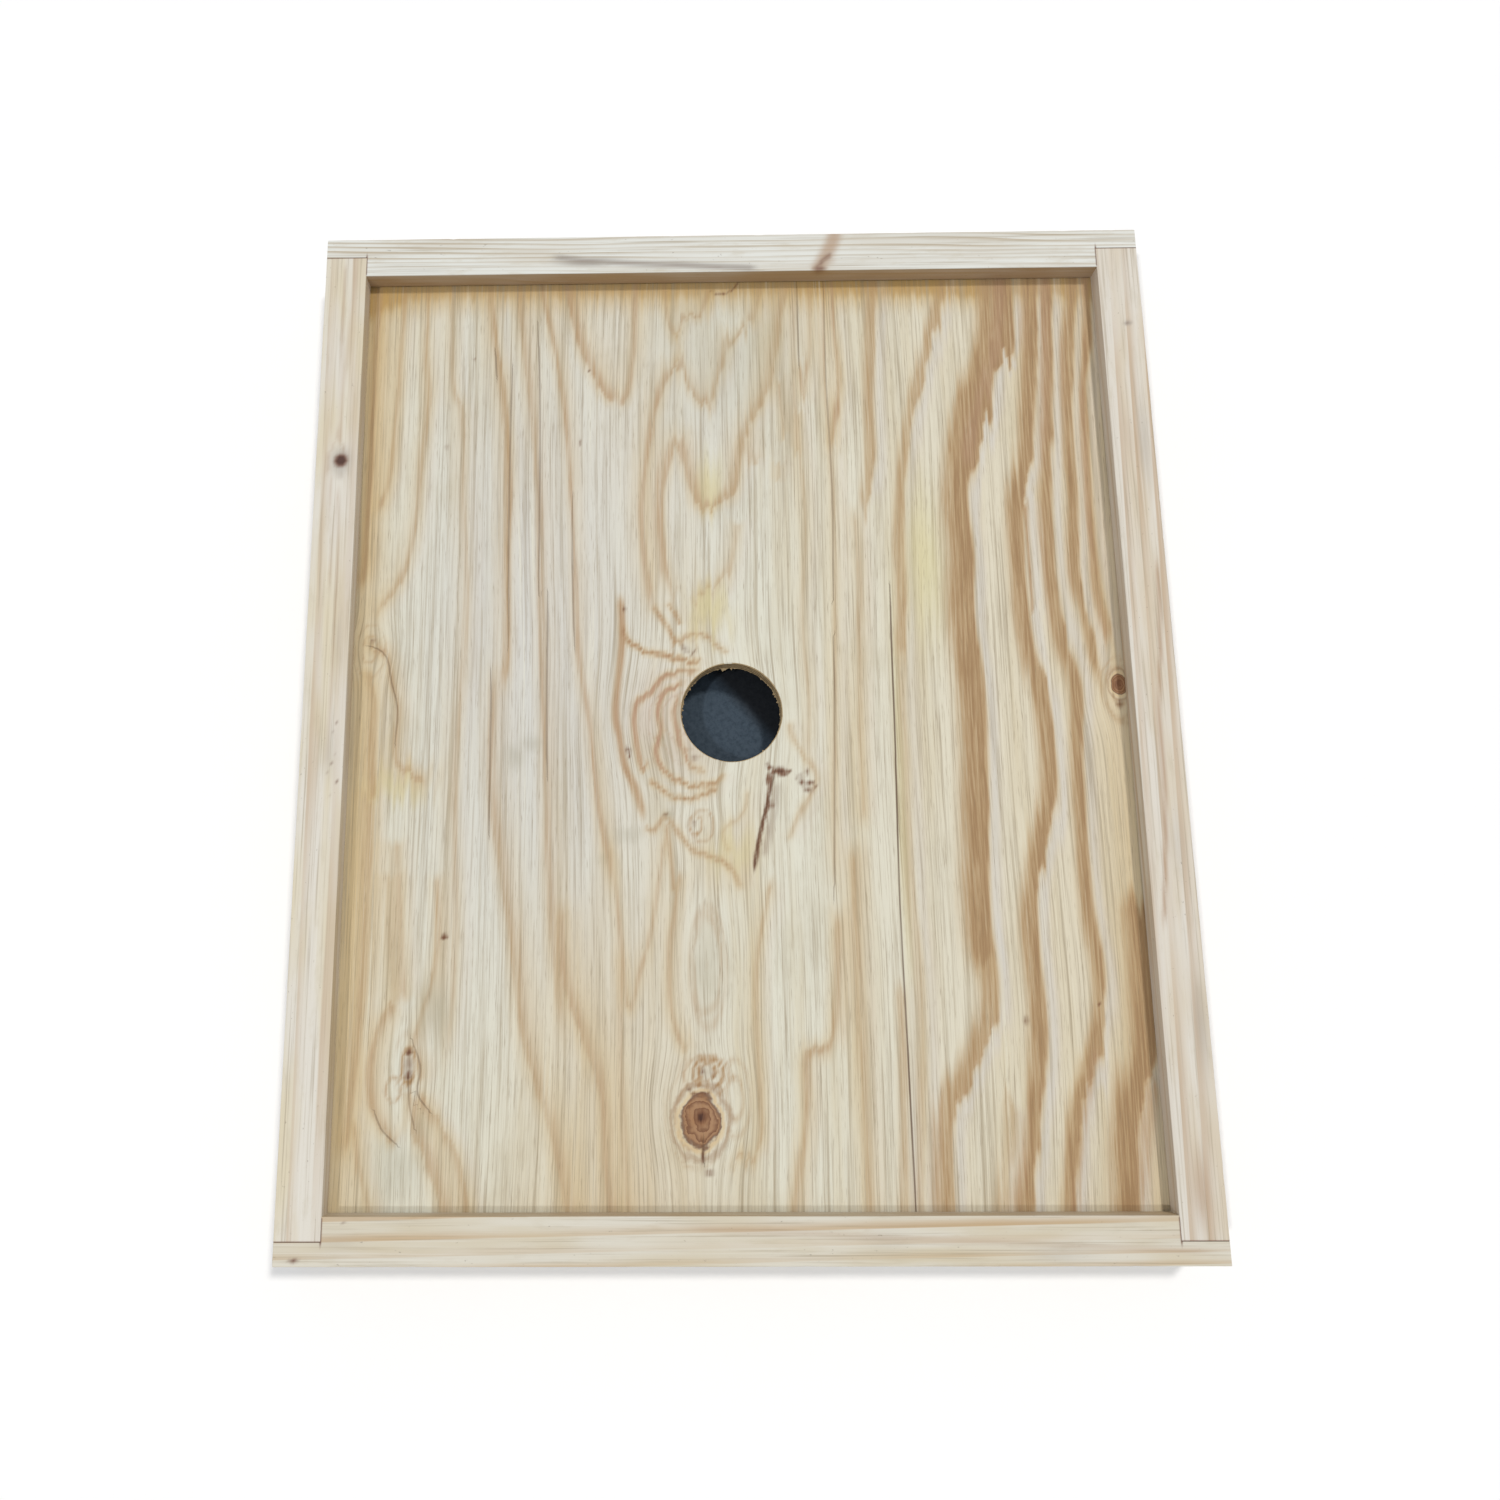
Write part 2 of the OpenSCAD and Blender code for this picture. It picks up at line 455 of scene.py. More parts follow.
# Growth-ring lines: the fade to the left and to the right, the strength, and the points
# that the line goes through, from the far end to the near end.
LEFT_LINES = [
    (5, 6, 0.75, (-336, 428), (-336, 300), (-337, 160), (-341, 110)),
    (4, 4, 0.62, (-309, 428), (-312, 340), (-313, 290), (-318, 220), (-330, 180)),
    (7, 3, 0.6, (-286, 428), (-286, 350), (-283, 300), (-288, 230), (-293, 160), (-305, 120),
     (-325, 93), (-330, 80)),
    (7, 2.5, 0.5, (-263, 428), (-262, 350), (-259, 310), (-250, 285), (-247, 195), (-242, 120),
     (-243, 40), (-248, -60), (-243, -200), (-250, -315)),
    (8, 3, 0.75, (-227, 428), (-222, 365), (-213, 315), (-206, 240), (-206, 140), (-204, 60),
     (-209, 10)),
    (4, 12, 0.55, (-219, 50), (-219, -60), (-205, -150), (-196, -200), (-186, -275),
     (-172, -325), (-160, -360), (-146, -428)),
    (3, 10, 0.55, (-202, 428), (-198, 370), (-190, 310), (-184, 240), (-179, 180), (-177, 80),
     (-171, -40), (-166, -150), (-160, -220), (-150, -300)),
    (3, 6, 0.65, (-180, 428), (-170, 370), (-158, 310), (-150, 220), (-146, 140), (-142, 60),
     (-132, -10), (-124, -80), (-108, -170)),
    (3, 12, 0.55, (-158, -160), (-152, -230), (-133, -285), (-120, -330), (-117, -380),
     (-112, -428)),
    (3, 12, 0.7, (-157, 428), (-148, 380), (-138, 345), (-127, 322), (-117, 303), (-104, 290)),
    (7, 3, 0.6, (-88, 428), (-89, 370), (-92, 330), (-97, 304), (-108, 286)),
    (3, 4, 0.6, (-62, 428), (-60, 395), (-57, 380), (-50, 366), (-44, 382), (-37, 388),
     (-28, 385), (-23, 400), (-18, 428)),
    (2.5, 2.5, 0.45, (-50, 372), (-49, 352), (-51, 338)),
    (12, 4, 0.6, (-322, -60), (-321, -220), (-325, -300), (-331, -380)),
    (16, 3, 0.45, (-296, -110), (-291, -180), (-285, -250)),
    (9, 3, 0.7, (-330, 42), (-322, 12), (-322, -40), (-319, -80)),
    (5, 5, 0.4, (-103, -200), (-103, -300), (-96, -428)),
    (3, 6, 0.6, (-265, -140), (-261, -190), (-263, -230), (-272, -262), (-278, -288),
     (-271, -306), (-273, -325)),
    (10, 3, 0.6, (-273, -322), (-262, -340), (-248, -358), (-236, -380), (-226, -428)),
    (3, 12, 0.6, (-280, -318), (-277, -350), (-263, -382), (-249, -428)),
    (4, 9, 0.65, (-294, -246), (-307, -270), (-314, -300), (-313, -325), (-305, -350),
     (-288, -368)),
    (4, 5, 0.5, (-326, -345), (-321, -380), (-308, -428)),
    (8, 14, 0.4, (-304, -140), (-300, -200), (-293, -255)),
    (4, 6, 0.65, (-338, 62), (-322, 60), (-313, 51), (-308, 28), (-302, 5), (-303, -28),
     (-298, -48), (-272, -64)),
]
# Nested V shapes above and below the hole.
CENTRE_LINES = [
    (3, 8, 0.62, (-66, 85), (-75, 110), (-83, 180), (-80, 230), (-68, 300), (-52, 336),
     (-38, 310), (-24, 293), (-8, 330), (0, 362), (20, 374), (32, 428)),
    (3, 12, 0.65, (-45, 102), (-60, 130), (-66, 200), (-52, 256), (-40, 215), (-28, 190),
     (0, 205), (9, 250), (17, 272), (33, 300), (42, 340), (49, 380), (57, 428)),
    (4, 10, 0.4, (9, 262), (14, 240), (22, 228)),
    (3, 4, 0.55, (64, 345), (66, 322), (68, 303), (71, 326), (75, 352), (77, 428)),
    (4, 2.5, 0.75, (97, 428), (98, 380), (101, 340), (101, 305), (96, 272), (93, 240)),
    (2.5, 2.5, 0.5, (45, 320), (47, 285), (48, 256)),
    (4, 3, 0.45, (64, 290), (61, 268), (60, 244)), (3, 3, 0.4, (42, 235), (41, 215)),
    (3, 6, 0.5, (-40, 100), (-8, 125), (5, 180)),
    (4, 4, 0.5, (-115, -115), (-105, -180), (-97, -254), (-84, -215), (-75, -180), (-64, -105)),
    (3, 5, 0.6, (-52, -140), (-61, -200), (-60, -260), (-47, -297)),
    (5, 3, 0.6, (28, -150), (12, -230), (14, -330), (10, -370), (-20, -388)),
    (4, 7, 0.65, (83, -160), (78, -250), (72, -280), (52, -297), (50, -340), (37, -428)),
    (7, 7, 0.55, (99, -110), (98, -250), (101, -428)),
    (4, 3, 0.5, (90, 428), (88, 330), (92, 200), (90, 100), (80, -167)),
    (5, 5, 0.5, (110, 200), (112, 120), (110, 60), (108, 0), (107, -110)),
    (5, 3, 0.4, (62, 428), (60, 300), (66, 180), (60, 90), (64, 10), (60, -60)),
]
# Wandering grain left of the hole.
CURL_LINES = [
    (4, 6, 0.75, (-104, 112), (-103, 57), (-109, 1), (-105, -24), (-100, -49), (-92, -67),
     (-83, -100)),
    (3, 3, 0.95, (-103, 84), (-98, 67), (-87, 58), (-72, 53), (-56, 50), (-44, 46), (-30, 46)),
    (3, 4, 0.75, (-30, 38), (-56, 36), (-69, 29), (-77, 17), (-87, 11), (-91, -6), (-89, -30),
     (-84, -52), (-78, -42)),
    (3, 3, 0.8, (-41, 26), (-56, 23), (-66, 14), (-70, -2), (-67, -18), (-72, -36), (-66, -52),
     (-50, -64), (-34, -67), (-19, -63), (-10, -54)),
    (3, 3, 0.6, (-50, 17), (-56, 1), (-53, -17), (-50, -31), (-41, -49), (-26, -56)),
    (3, 3, 0.75, (-80, -60), (-59, -76), (-44, -78), (-28, -74), (-17, -66)),
    (3, 3, 0.6, (-52, 58), (-44, 70), (-36, 71), (-25, 68), (-16, 59), (-6, 51)),
    (4, 3, 0.7, (-75, 100), (-66, 86), (-58, 72), (-52, 62)),
    (3, 3, 0.6, (-62, 102), (-54, 90), (-50, 78)),
    (4, 4, 0.6, (-84, -100), (-74, -106), (-64, -94), (-50, -112), (-36, -126), (-20, -130),
     (-6, -142), (2, -160)),
    (4, 4, 0.5, (-64, -100), (-60, -130), (-56, -160)),
    (3, 3, 0.4, (8, -70), (4, -90), (-14, -108), (-8, -128)),
    (3, 5, 0.45, (44, -8), (48, -26), (60, -44), (68, -62), (60, -78), (50, -98), (40, -118)),
]
# Broad brown bands with a sharp right edge.
RIGHT_LINES = [
    (18, 9, 0.85, (248, 428), (246, 395), (243, 360), (232, 320), (219, 285), (211, 250),
     (206, 215)),
    (12, 3, 0.6, (140, 428), (132, 330), (130, 240), (120, 185)),
    (12, 3, 0.62, (208, 428), (188, 350), (175, 300), (163, 250), (153, 180), (153, 110),
     (149, 40)),
    (9, 3, 0.36, (151, 90), (148, 20), (148, -60), (147, -170), (152, -250), (147, -350),
     (142, -428)),
    (8, 4, 0.45, (135, -230), (133, -330), (129, -428)),
    (30, 3, 0.95, (266, 428), (263, 350), (247, 330), (237, 280), (220, 230), (213, 190),
     (215, 140), (212, 90), (217, 20), (216, -60), (211, -170), (214, -245)),
    (20, 3, 0.72, (213, -190), (213, -255), (202, -285), (184, -318), (170, -350), (167, -428)),
    (17, 3, 0.9, (291, 428), (281, 300), (274, 240), (262, 190), (261, 110), (265, 50), (274, 0),
     (273, -80), (251, -170), (252, -280), (243, -340), (236, -380), (230, -428)),
    (13, 3, 0.85, (305, 428), (297, 300), (288, 180), (290, 90), (300, 30), (303, 0), (299, -60),
     (298, -170), (304, -245), (290, -308), (276, -345), (265, -428)),
    (11, 3, 0.85, (328, 428), (315, 300), (312, 180), (309, 110), (318, 60), (323, 8)),
    (8, 3, 0.8, (340, 428), (338, 360), (328, 280), (326, 190), (328, 100), (336, 40)),
    (26, 4, 1.0, (344, -160), (342, -280), (330, -318), (320, -350), (316, -428)),
    (2, 2, 0.7, (267, 200), (267, 90)), (12, 12, 0.5, (290, -290), (277, -345), (262, -428)),
    (18, 12, 0.5, (338, -310), (326, -360), (314, -428)),
    (12, 8, 0.4, (222, -320), (216, -370), (206, -428)),
]
# Fine dark hairlines in the top veneer, and the long splits.
HAIRLINES = [
    [(-182, 380), (-179, 300), (-178, 190), (-178, 110)],
    [(-206, 335), (-206, 180), (-204, 60)],
    [(-169, 112), (-169, 20), (-168, -60)],
    [(-148, 205), (-147, 130), (-145, 60)],
    [(-219, 40), (-218, -110)],
    [(-222, 352), (-220, 322)],
    [(-330, 62), (-322, 60), (-313, 51), (-308, 28), (-302, 5), (-303, -28)],
    [(64.7, 424), (64, 332)],
    [(90, 420), (89, 330), (91, 200), (88, 100)],
    [(88, 70), (84, -60), (80, -167)],
    [(140, 116), (139, 66), (138.5, 0), (138, -60)],
    [(138.6, 10), (137.6, -60), (136, -170), (137, -300), (138, -460)],
    [(32, -55), (24, -85), (18, -105), (12, -140)],
    [(-279, -282), (-271, -304), (-273, -325), (-262, -340)],
    [(-308, -340), (-302, -354), (-288, -367)],
    [(-281, -312), (-279, -336), (-274, -354)],
    [(-35, -362), (-35, -382)],
]
# Knots: middle, size across and along, darkness.
KNOTS = [
    ((-36, -345), 7, 8, 1.1), ((-35, -376), 3, 9, 0.7), ((-35, -308), 3.5, 3.5, 0.8),
    ((-26, -311), 3, 3, 0.7), ((-30, -310), 13, 12, 0.28), ((-30, -389), 7, 4, 0.6),
    ((-281, -292), 4, 5, 0.9), ((-281, -311), 5, 5, 0.9), ((-281, -302), 7, 14, 0.5),
    ((337, 22), 6, 9, 0.75), ((337, 4), 5, 7, 0.6), ((-254, -196), 4.5, 3.5, 1.0),
    ((-326, 67), 4, 4, 0.6), ((-46, 58), 6, 5, 0.45), ((-39, -100), 3, 3, 0.7),
    ((-64, -92), 3, 3, 0.6), ((36, -54), 9, 4.5, 1.0), ((27, -62), 4.5, 9, 0.9),
    ((61, -64), 6, 3.2, 0.6), ((-38, -42), 6, 5, 0.45), ((29, -84), 4, 5, 0.7),
    ((-95, -35), 3, 4, 0.5), ((237, -268), 4.5, 7, 0.5), ((299, -255), 2.5, 2, 0.7),
    ((-242, 342), 2.5, 3, 0.6), ((-133, 330), 2.5, 3, 0.6), ((-141, 257), 2.5, 6, 0.5),
    ((-265, 254), 2.5, 6, 0.5), ((-100, 95), 3, 5, 0.6), ((60, -55), 4, 6, 0.5),
]
# Torn bark and gum streaks: width, darkness, points.
BARK = [
    (2.6, 0.55, (-20, 413), (-12, 408), (-2, 409), (5, 414), (10, 424)),
    (3.4, 0.8, (24, -46), (31, -54), (40, -57), (48, -53)),
    (3.4, 0.85, (31, -52), (27, -70), (24, -86), (19, -104), (14, -126), (12, -146)),
    (2.6, 0.7, (50, -60), (58, -66), (68, -62)),
    (9, 0.34, (36, -60), (32, -78), (29, -96), (24, -116), (19, -134)),
    (7, 0.34, (52, -54), (58, -68), (66, -74)), (2.4, 0.6, (56, -72), (64, -70), (70, -66)),
    (2.4, 0.7, (-98, -30), (-95, -42)),
    (2.4, 0.6, (-50, -318), (-44, -326), (-33, -327), (-24, -322)),
    (2.4, 0.5, (-50, 66), (-47, 58), (-40, 52), (-34, 60)),
]
# Whole knots, each with its own rings: middle and half size across and along.
WHOLE_KNOTS = [((-36, -347), 16, 22), ((338, 21), 7, 10)]
# Single rings: middle, half size across and along, line width, strength.
KNOT_RINGS = [
    ((-31, -309), 7, 6, 2.6, 0.9), ((-30, -310), 13, 12, 2.6, 0.95),
    ((-31, -312), 19, 17, 2.6, 0.6), ((-281, -303), 6, 14, 2.6, 0.9),
    ((-38, -101), 6, 8, 2.6, 0.7), ((-8, -330), 7, 17, 3.0, 0.5), ((-8, -330), 13, 31, 3.0, 0.4),
    ((-32, -102), 10, 14, 3.0, 0.5), ((-46, 58), 11, 9, 2.5, 0.4), ((-293, -322), 6, 10, 2.6, 0.6),
    ((337, 14), 12, 24, 3.0, 0.5), ((-29, -222), 16, 50, 4.0, 0.35),
]
# Swirls of wandering grain: middle, reach across and along, number of rings, strength.
SWIRLS = [
    ((-42, -6), 60, 70, 5, 0.34), ((-37, -338), 34, 58, 4, 0.6), ((-283, -304), 22, 48, 2, 0.3),
    ((-328, 60), 20, 34, 3, 0.5), ((338, 14), 26, 46, 3, 0.6), ((-34, -103), 20, 28, 2, 0.25),
    ((-30, -222), 26, 84, 2, 0.4),
]
# Broad tints: middle, size across and along, strength.
WARM_SPOTS = [
    ((-28, 205), 22, 40, 0.6), ((-290, -62), 46, 24, 0.7), ((-25, 90), 34, 36, 0.6),
    ((-10, -130), 60, 50, 0.5),
]
YELLOW_SPOTS = [
    ((-20, 214), 17, 50, 0.75), ((-22, 92), 30, 34, 0.8), ((-300, -70), 40, 20, 0.6),
    ((-5, -125), 34, 26, 0.5),
]
YELLOW_FIELDS = [((172, 130), 28, 120, 0.9), ((141, -60), 7, 330, 0.5)]
GREY_FIELDS = [((-190, 70), 150, 460, 0.9), ((-20, 250), 110, 200, 0.35)]
# Grey smudges and stains, one of them partly painted shadow: middle, size across and along,
# strength.
SMUDGES_AND_SHADOW = [
    ((-5, 352), 125, 110, 0.42), ((-199, -40), 16, 18, 0.8), ((-180, -28), 16, 12, 0.6),
    # The patch at (-290, -386) is partly a grey stain and partly painted shadow cast from outside
    # the board.
    ((-100, -110), 26, 12, 0.6), ((-262, -255), 26, 40, 0.7), ((-290, -386), 34, 44, 0.55),
    ((-268, -352), 12, 18, 0.5), ((-298, -215), 12, 60, 0.35), ((-119, -130), 10, 8, 0.6),
    ((-60, -92), 10, 6, 0.8), ((-30, -222), 18, 64, 0.5),
]


def flow(x, y):
    """How far sideways the fibres are pushed round the knots, in millimetres."""
    pushed = np.zeros(len(x))
    for centre, across, along, _, strength in SWIRLS:
        dx, dy = x - centre[0], y - centre[1]
        pushed -= dx * strength * 1.15 * np.exp(-((dx / across) ** 2) - (dy / along / 0.7) ** 2)
    return pushed + 9 * (lattice(60, x, y, 90, 260) - 0.5)


def deck_fields(piece):
    """Where the deck's top veneer is brown, yellow, pink, grey or dark, and its nearest split."""
    points = coordinates(piece)
    x0, y0 = points[:, 0], points[:, 1]
    # Fibres run along the deck, so edges of the stripes are ragged lengthways.
    ragged = lattice(40, x0, y0, 2.2, 500) - 0.5 + 0.6 * (lattice(41, x0, y0, 5, 90) - 0.5)
    x = x0 + 1.6 * (lattice(42, x0, y0, 6, 40) - 0.5)
    y = y0 + 30 * ragged
    late, halo, blush = np.zeros(len(x)), np.zeros(len(x)), np.zeros(len(x))
    groups = (
        (LEFT_LINES, y0 * 0.7 + y * 0.3, 2.2, 0.85),
        (CENTRE_LINES, y0 * 0.45 + y * 0.55, 2.0, 0.85),
        (CURL_LINES, y0 * 0.9 + y * 0.1, 0.6, 1.0),
        (RIGHT_LINES, y, 1.0, 1.3),
    )
    for lines, ragged_y, reach, core in groups:
        for left, right, strength, *stops in lines:
            stops = past_edges(stops)
            stripe = np.minimum(core * band(x, ragged_y, stops, left * 1.25, right * 1.25), 1)
            late = np.maximum(late, strength * stripe)
            wide = strength * band(x, ragged_y, stops, left * reach + 5, right * reach + 5)
            halo = halo + wide * (1 - 0.6 * halo)
            blush = np.maximum(blush, band(x - 9, ragged_y, stops, 11, 9))
    dark = np.zeros(len(x))
    for centre, size_x, size_y, strength in KNOTS:
        dark = np.maximum(dark, strength * spot(x0, y0, centre, size_x * 1.25, size_y * 1.25))
    for width, strength, *stops in BARK:
        dark = np.maximum(dark, strength * band(x, y0, stops, width, width, 0.12))
    wobble = 0.16 * (lattice(61, x0, y0, 13, 15) - 0.5) + 0.2 * (lattice(62, x0, y0, 30, 34) - 0.5)
    for centre, across, along, count, strength in SWIRLS:
        away = oval(x0, y0, centre, across, along) + wobble
        lines = (0.5 + 0.5 * np.cos(2 * math.pi * count * away)) ** 3
        late = np.maximum(late, strength * lines * np.clip(2.2 * (1 - away), 0, 1))
    for *place, strength in KNOT_RINGS:
        late = np.maximum(late, strength * ring(x0, y0, *place))
    knot = np.full(len(x), 3.0)
    for centre, across, along in WHOLE_KNOTS:
        away = oval(x0, y0, centre, across, along)
        knot = np.minimum(knot, away * (1 + 0.6 * wobble))
    pink = 1.1 * spot(x0 + 30 * wobble, y0, (-52, -8), 66, 76)
    pink += 0.35 * falloff(np.abs(x + 100), 120)
    # Painted shade: golden strips along the far, left and right rails stand for the rails' shade
    # and the warm light they throw back onto the deck. The tint towards the near end and the warm
    # spots below are the wood's own colour.
    far_rail_shade = falloff(INNER_Y - y0 * 0.7 - y * 0.3, 40)
    warm_tint_and_rail_shade = (1.35 + 0.45 * falloff(np.abs(x0 - 240), 200)) * far_rail_shade
    warm_tint_and_rail_shade += 0.85 * falloff(x + INNER_X, 46) + 0.5 * falloff(INNER_X - x, 50)
    warm_tint_and_rail_shade += 0.45 * falloff(np.abs(x + 110), 160) * falloff(y0 + INNER_Y, 330)
    warm_tint_and_rail_shade += spots(x, y, WARM_SPOTS)
    lemon = spots(x, y, YELLOW_SPOTS) + fields(x, y, YELLOW_FIELDS)
    grey = fields(x, y, GREY_FIELDS)
    for _, _, strength, *stops in RIGHT_LINES:
        grey += 0.7 * strength * band(x - 6, y, past_edges(stops), 6, 9)
    smudge_and_shadow = np.zeros(len(x))
    for *place, strength in SMUDGES_AND_SHADOW:
        smudge_and_shadow = np.maximum(smudge_and_shadow, strength * spot(x0 + 40 * wobble, y0, *place))
    hair = np.full(len(x), 9.0)
    for stops in HAIRLINES:
        side, run = beside(x0, y0, stops, 30)
        taper = 1.2 * np.clip(1 - np.minimum(run, 1 - run) / 0.12, 0, 1)
        closer = np.abs(side) + taper < np.abs(hair)
        hair = np.where(closer, (np.abs(side) + taper) * np.sign(side), hair)
    for name, values in (
        ("late", late),
        ("halo", np.clip(halo, 0, 1)),
        ("blush", np.maximum(0.35 * blush, np.clip(pink, 0, 1))),
        ("warm_tint_and_rail_shade", np.clip(warm_tint_and_rail_shade, 0, 1.4)),
        ("grey", np.clip(grey, 0, 1)),
        ("smudge_and_shadow", smudge_and_shadow),
        ("dark", dark),
        ("knot", knot),
        ("lemon", np.clip(lemon, 0, 1)),
        ("side", falloff(np.abs(x - 330), 330)),
        ("hair", hair),
        ("hair_near", np.clip((6 - np.abs(hair)) / 3, 0, 1)),
        ("flow", flow(x0, y0)),
    ):
        set_field(piece, name, values)
    # The top is not quite flat: hard late wood and knots stand a little proud.
    on_top = points[:, 2] > DECK_HIGH - 0.05
    lift = 0.10 * late - 0.3 * dark + 0.3 * falloff(knot, 1.2)
    lift += 0.12 * (lattice(50, x0, y0, 60, 160) - 0.5)
    lift -= 0.35 * falloff(np.abs(hair), 1.6)
    points[:, 2] += np.where(on_top, lift - 0.12, 0)
    set_coordinates(piece, points)


# ---------------------------------------------------------------- materials


def add_node(tree, kind, inputs, **settings):
    """A new shader node. Each of its inputs is given a signal, a socket or a value."""
    node = tree.nodes.new("ShaderNode" + kind)
    for name, value in settings.items():
        setattr(node, name, value)
    for key, value in inputs.items():
        value = getattr(value, "socket", value)
        if isinstance(value, bpy.types.NodeSocket):
            tree.links.new(value, node.inputs[key])
        else:
            node.inputs[key].default_value = value
    return node


class Signal:
    """A number that varies over a surface, made of shader nodes."""

    def __init__(self, tree, socket):
        self.tree = tree
        self.socket = socket

    def math(self, operation, *others):
        inputs = dict(enumerate((self, *others)))
        node = add_node(self.tree, "Math", inputs, operation=operation)
        return Signal(self.tree, node.outputs[0])

    def __add__(self, other):
        return self.math("ADD", other)

    def __sub__(self, other):
        return self.math("SUBTRACT", other)

    def __mul__(self, other):
        return self.math("MULTIPLY", other)

    def between(self, low, high, start=0.0, end=1.0):
        """Rises smoothly from start at low to end at high."""
        inputs = {"Value": self, "From Min": low, "From Max": high, "To Min": start, "To Max": end}
        node = add_node(self.tree, "MapRange", inputs, interpolation_type="SMOOTHSTEP")
        return Signal(self.tree, node.outputs["Result"])

    def peak(self, low, middle, high):
        """Rises from 0 at low to 1 at middle, and falls back to 0 at high."""
        return self.between(low, middle) * self.between(middle, high, 1.0, 0.0)


def linear(colour):
    """A screen colour, with channels from 0 to 255, as linear light."""
    shares = (c / 255 for c in colour)
    light = (c / 12.92 if c <= 0.04045 else ((c + 0.055) / 1.055) ** 2.4 for c in shares)
    return (*light, 1.0)


class Finish:
    """A material in the making: its node tree, its place on the object, and its colour so far."""

    def __init__(self, name):
        self.material = bpy.data.materials.new(name)
        self.material.use_nodes = True
        self.tree = self.material.node_tree
        self.shader = self.tree.nodes["Principled BSDF"]
        self.place = add_node(self.tree, "TexCoord", {}).outputs["Object"]
        split = add_node(self.tree, "SeparateXYZ", {0: self.place})
        self.x, self.y, self.z = (Signal(self.tree, s) * 1000.0 for s in split.outputs)
        self.colour = None

    def field(self, name):
        node = add_node(self.tree, "Attribute", {}, attribute_name=name)
        return Signal(self.tree, node.outputs["Fac"])

    def noise(self, size, detail=3.0, rough=0.55, offset=(0, 0, 0)):
        """Noise whose cells measure size in millimetres, centred on 0.5."""
        scale = {0: self.place, 1: [1000.0 / s for s in size], 2: offset}
        scaled = add_node(self.tree, "VectorMath", scale, operation="MULTIPLY_ADD").outputs[0]
        inputs = {"Vector": scaled, "Scale": 1.0, "Detail": detail, "Roughness": rough}
        return Signal(self.tree, add_node(self.tree, "TexNoise", inputs).outputs["Fac"])

    def start(self, colour):
        node = add_node(self.tree, "RGB", {})
        node.outputs[0].default_value = linear(colour)
        self.colour = node.outputs[0]

    def paint(self, amount, colour):
        """Lays a colour over what is there, where amount is above 0."""
        inputs = {"Factor": amount, "A": self.colour, "B": linear(colour)}
        node = add_node(self.tree, "Mix", inputs, data_type="RGBA", clamp_factor=True)
        self.colour = node.outputs["Result"]

    def finish(self, roughness, height, depth, specular=0.3):
        """depth is how far the bump reaches, in millimetres."""
        self.tree.links.new(self.colour, self.shader.inputs["Base Color"])
        self.tree.links.new(roughness.socket, self.shader.inputs["Roughness"])
        inputs = {"Strength": 1.0, "Distance": depth * MM, "Height": height}
        bump = add_node(self.tree, "Bump", inputs)
        self.tree.links.new(bump.outputs["Normal"], self.shader.inputs["Normal"])
        self.shader.inputs["Specular IOR Level"].default_value = specular
        return self.material


